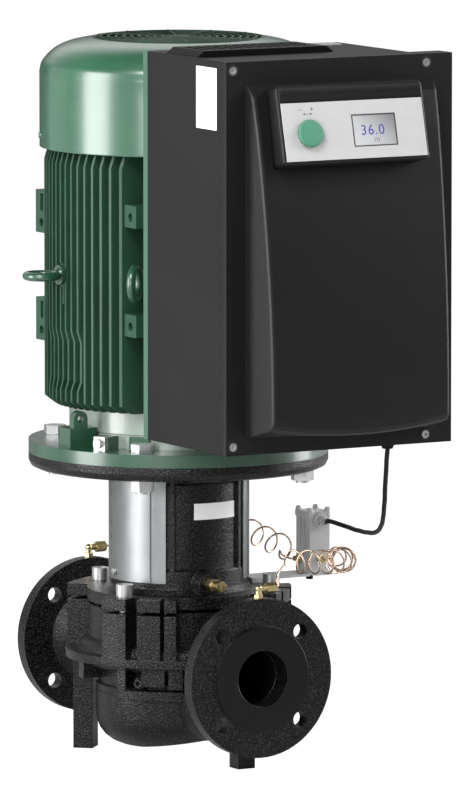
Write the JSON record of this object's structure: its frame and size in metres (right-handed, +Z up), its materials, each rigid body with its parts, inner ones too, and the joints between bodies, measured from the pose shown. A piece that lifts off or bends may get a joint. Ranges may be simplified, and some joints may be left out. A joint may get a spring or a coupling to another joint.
{
  "type": "in-line pump",
  "caption": "Vertical in-line centrifugal pump: flanged volute casing, lantern, finned electric motor with fan cover, and a converter module with a display, knob and pressure sensor.",
  "frame": {"origin": "centre of the suction flange's sealing face, on the pipe axis", "axes": "+Y along the flow to the discharge flange, +Z up along the motor shaft, +X to the right seen from the suction flange"},
  "size_m": [0.397, 0.6619, 0.8466],
  "materials": {
    "black_casting": "black dip-coated sand casting",
    "black_plug": "black coated steel",
    "bronze": "cast bronze",
    "zinc_steel": "zinc-plated steel",
    "gasket_paper": "pressed fibre",
    "seal_face": "lapped ceramic and carbon",
    "turned_steel": "turned and ground steel",
    "stainless_sheet": "rolled stainless sheet",
    "brass": "turned brass",
    "laminations": "stacked electrical sheet",
    "winding": "varnished copper wire",
    "green_casting": "green paint over casting",
    "green_sheet": "green paint over sheet steel",
    "fan_plastic": "moulded polyamide",
    "housing_grey": "fine-textured dark moulding",
    "cover_black": "fine-textured black moulding",
    "gasket_rubber": "foamed rubber",
    "board": "solder-masked board",
    "panel_white": "satin light grey film",
    "display_glass": "reflective display window",
    "encoder_plastic": "moulded",
    "knob_green": "moulded green knob",
    "black_plastic": "moulded polyamide",
    "cable_black": "extruded cable sheath",
    "sensor_aluminium": "anodised aluminium",
    "copper": "drawn copper tube"
  },
  "bodies": {
    "root": {"volute_casing": "black_casting", "lantern": "black_casting", "drain_plug": "black_plug", "wear_ring": "bronze", "guard_screws": "zinc_steel", "casing_screws": "zinc_steel", "flange_bolts": "zinc_steel", "flange_nuts": "zinc_steel", "cover_screws": "zinc_steel", "sensor_cap_screws": "zinc_steel", "earth_clamp": "zinc_steel", "casing_gasket": "gasket_paper", "seal_seat": "seal_face", "bearing_outer_rings": "turned_steel", "left_guard": "stainless_sheet", "right_guard": "stainless_sheet", "vent_body": "brass", "sensor_ports": "brass", "pressure_elbows": "brass", "stator_core": "laminations", "windings": "winding", "drive_end_shield": "green_casting", "motor_frame": "green_casting", "rear_end_shield": "green_casting", "side_eyebolt": "green_casting", "corner_eyebolt": "green_casting", "fan_cover": "green_sheet", "adapter_plate": "green_sheet", "fan_cover_screws": "green_sheet", "module_housing": "housing_grey", "top_vent": "housing_grey", "module_cover": "cover_black", "display_bezel": "cover_black", "cover_gasket": "gasket_rubber", "power_board": "board", "display_panel": "panel_white", "lcd_window": "display_glass", "encoder_body": "encoder_plastic", "module_gland": "black_plastic", "signal_cable": "cable_black", "sensor_body": "sensor_aluminium", "sensor_cap": "sensor_aluminium", "sensor_gland": "sensor_aluminium", "sensor_bracket": "sensor_aluminium", "suction_capillary": "copper", "discharge_capillary": "copper"},
    "rotor": {"impeller": "bronze", "impeller_nut": "zinc_steel", "seal_head": "seal_face", "seal_spring": "zinc_steel", "stub_shaft": "turned_steel", "motor_shaft": "turned_steel", "rotor_core": "laminations", "bearing_inner_rings": "turned_steel", "bearing_balls": "turned_steel", "cooling_fan": "fan_plastic"},
    "vent_cap": {"vent_screw": "brass"},
    "button": {"encoder_plunger": "encoder_plastic"},
    "dial": {"knob_shaft": "turned_steel", "knob": "knob_green"}
  },
  "joints": [
    {"name": "rotor_spin", "type": "hinge", "parent": "root", "child": "rotor", "pos_m": [0, 0.2, 0.2], "axis": [0, 0, 1], "continuous": true},
    {"name": "knob_press", "type": "slide", "parent": "root", "child": "button", "axis": [0, 0.9707, -0.2402], "range_m": [0, 0.0015], "stiffness_N_per_m": 900, "springref_m": -0.002},
    {"name": "knob_turn", "type": "hinge", "parent": "button", "child": "dial", "pos_m": [-0.067, -0.22081, 0.64928], "axis": [0, -0.9707, 0.2402], "continuous": true},
    {"name": "vent_turn", "type": "hinge", "parent": "root", "child": "vent_cap", "pos_m": [-0.011, 0.09, 0.098], "axis": [0, -1, 0], "range_deg": [0, 360]}
  ]
}
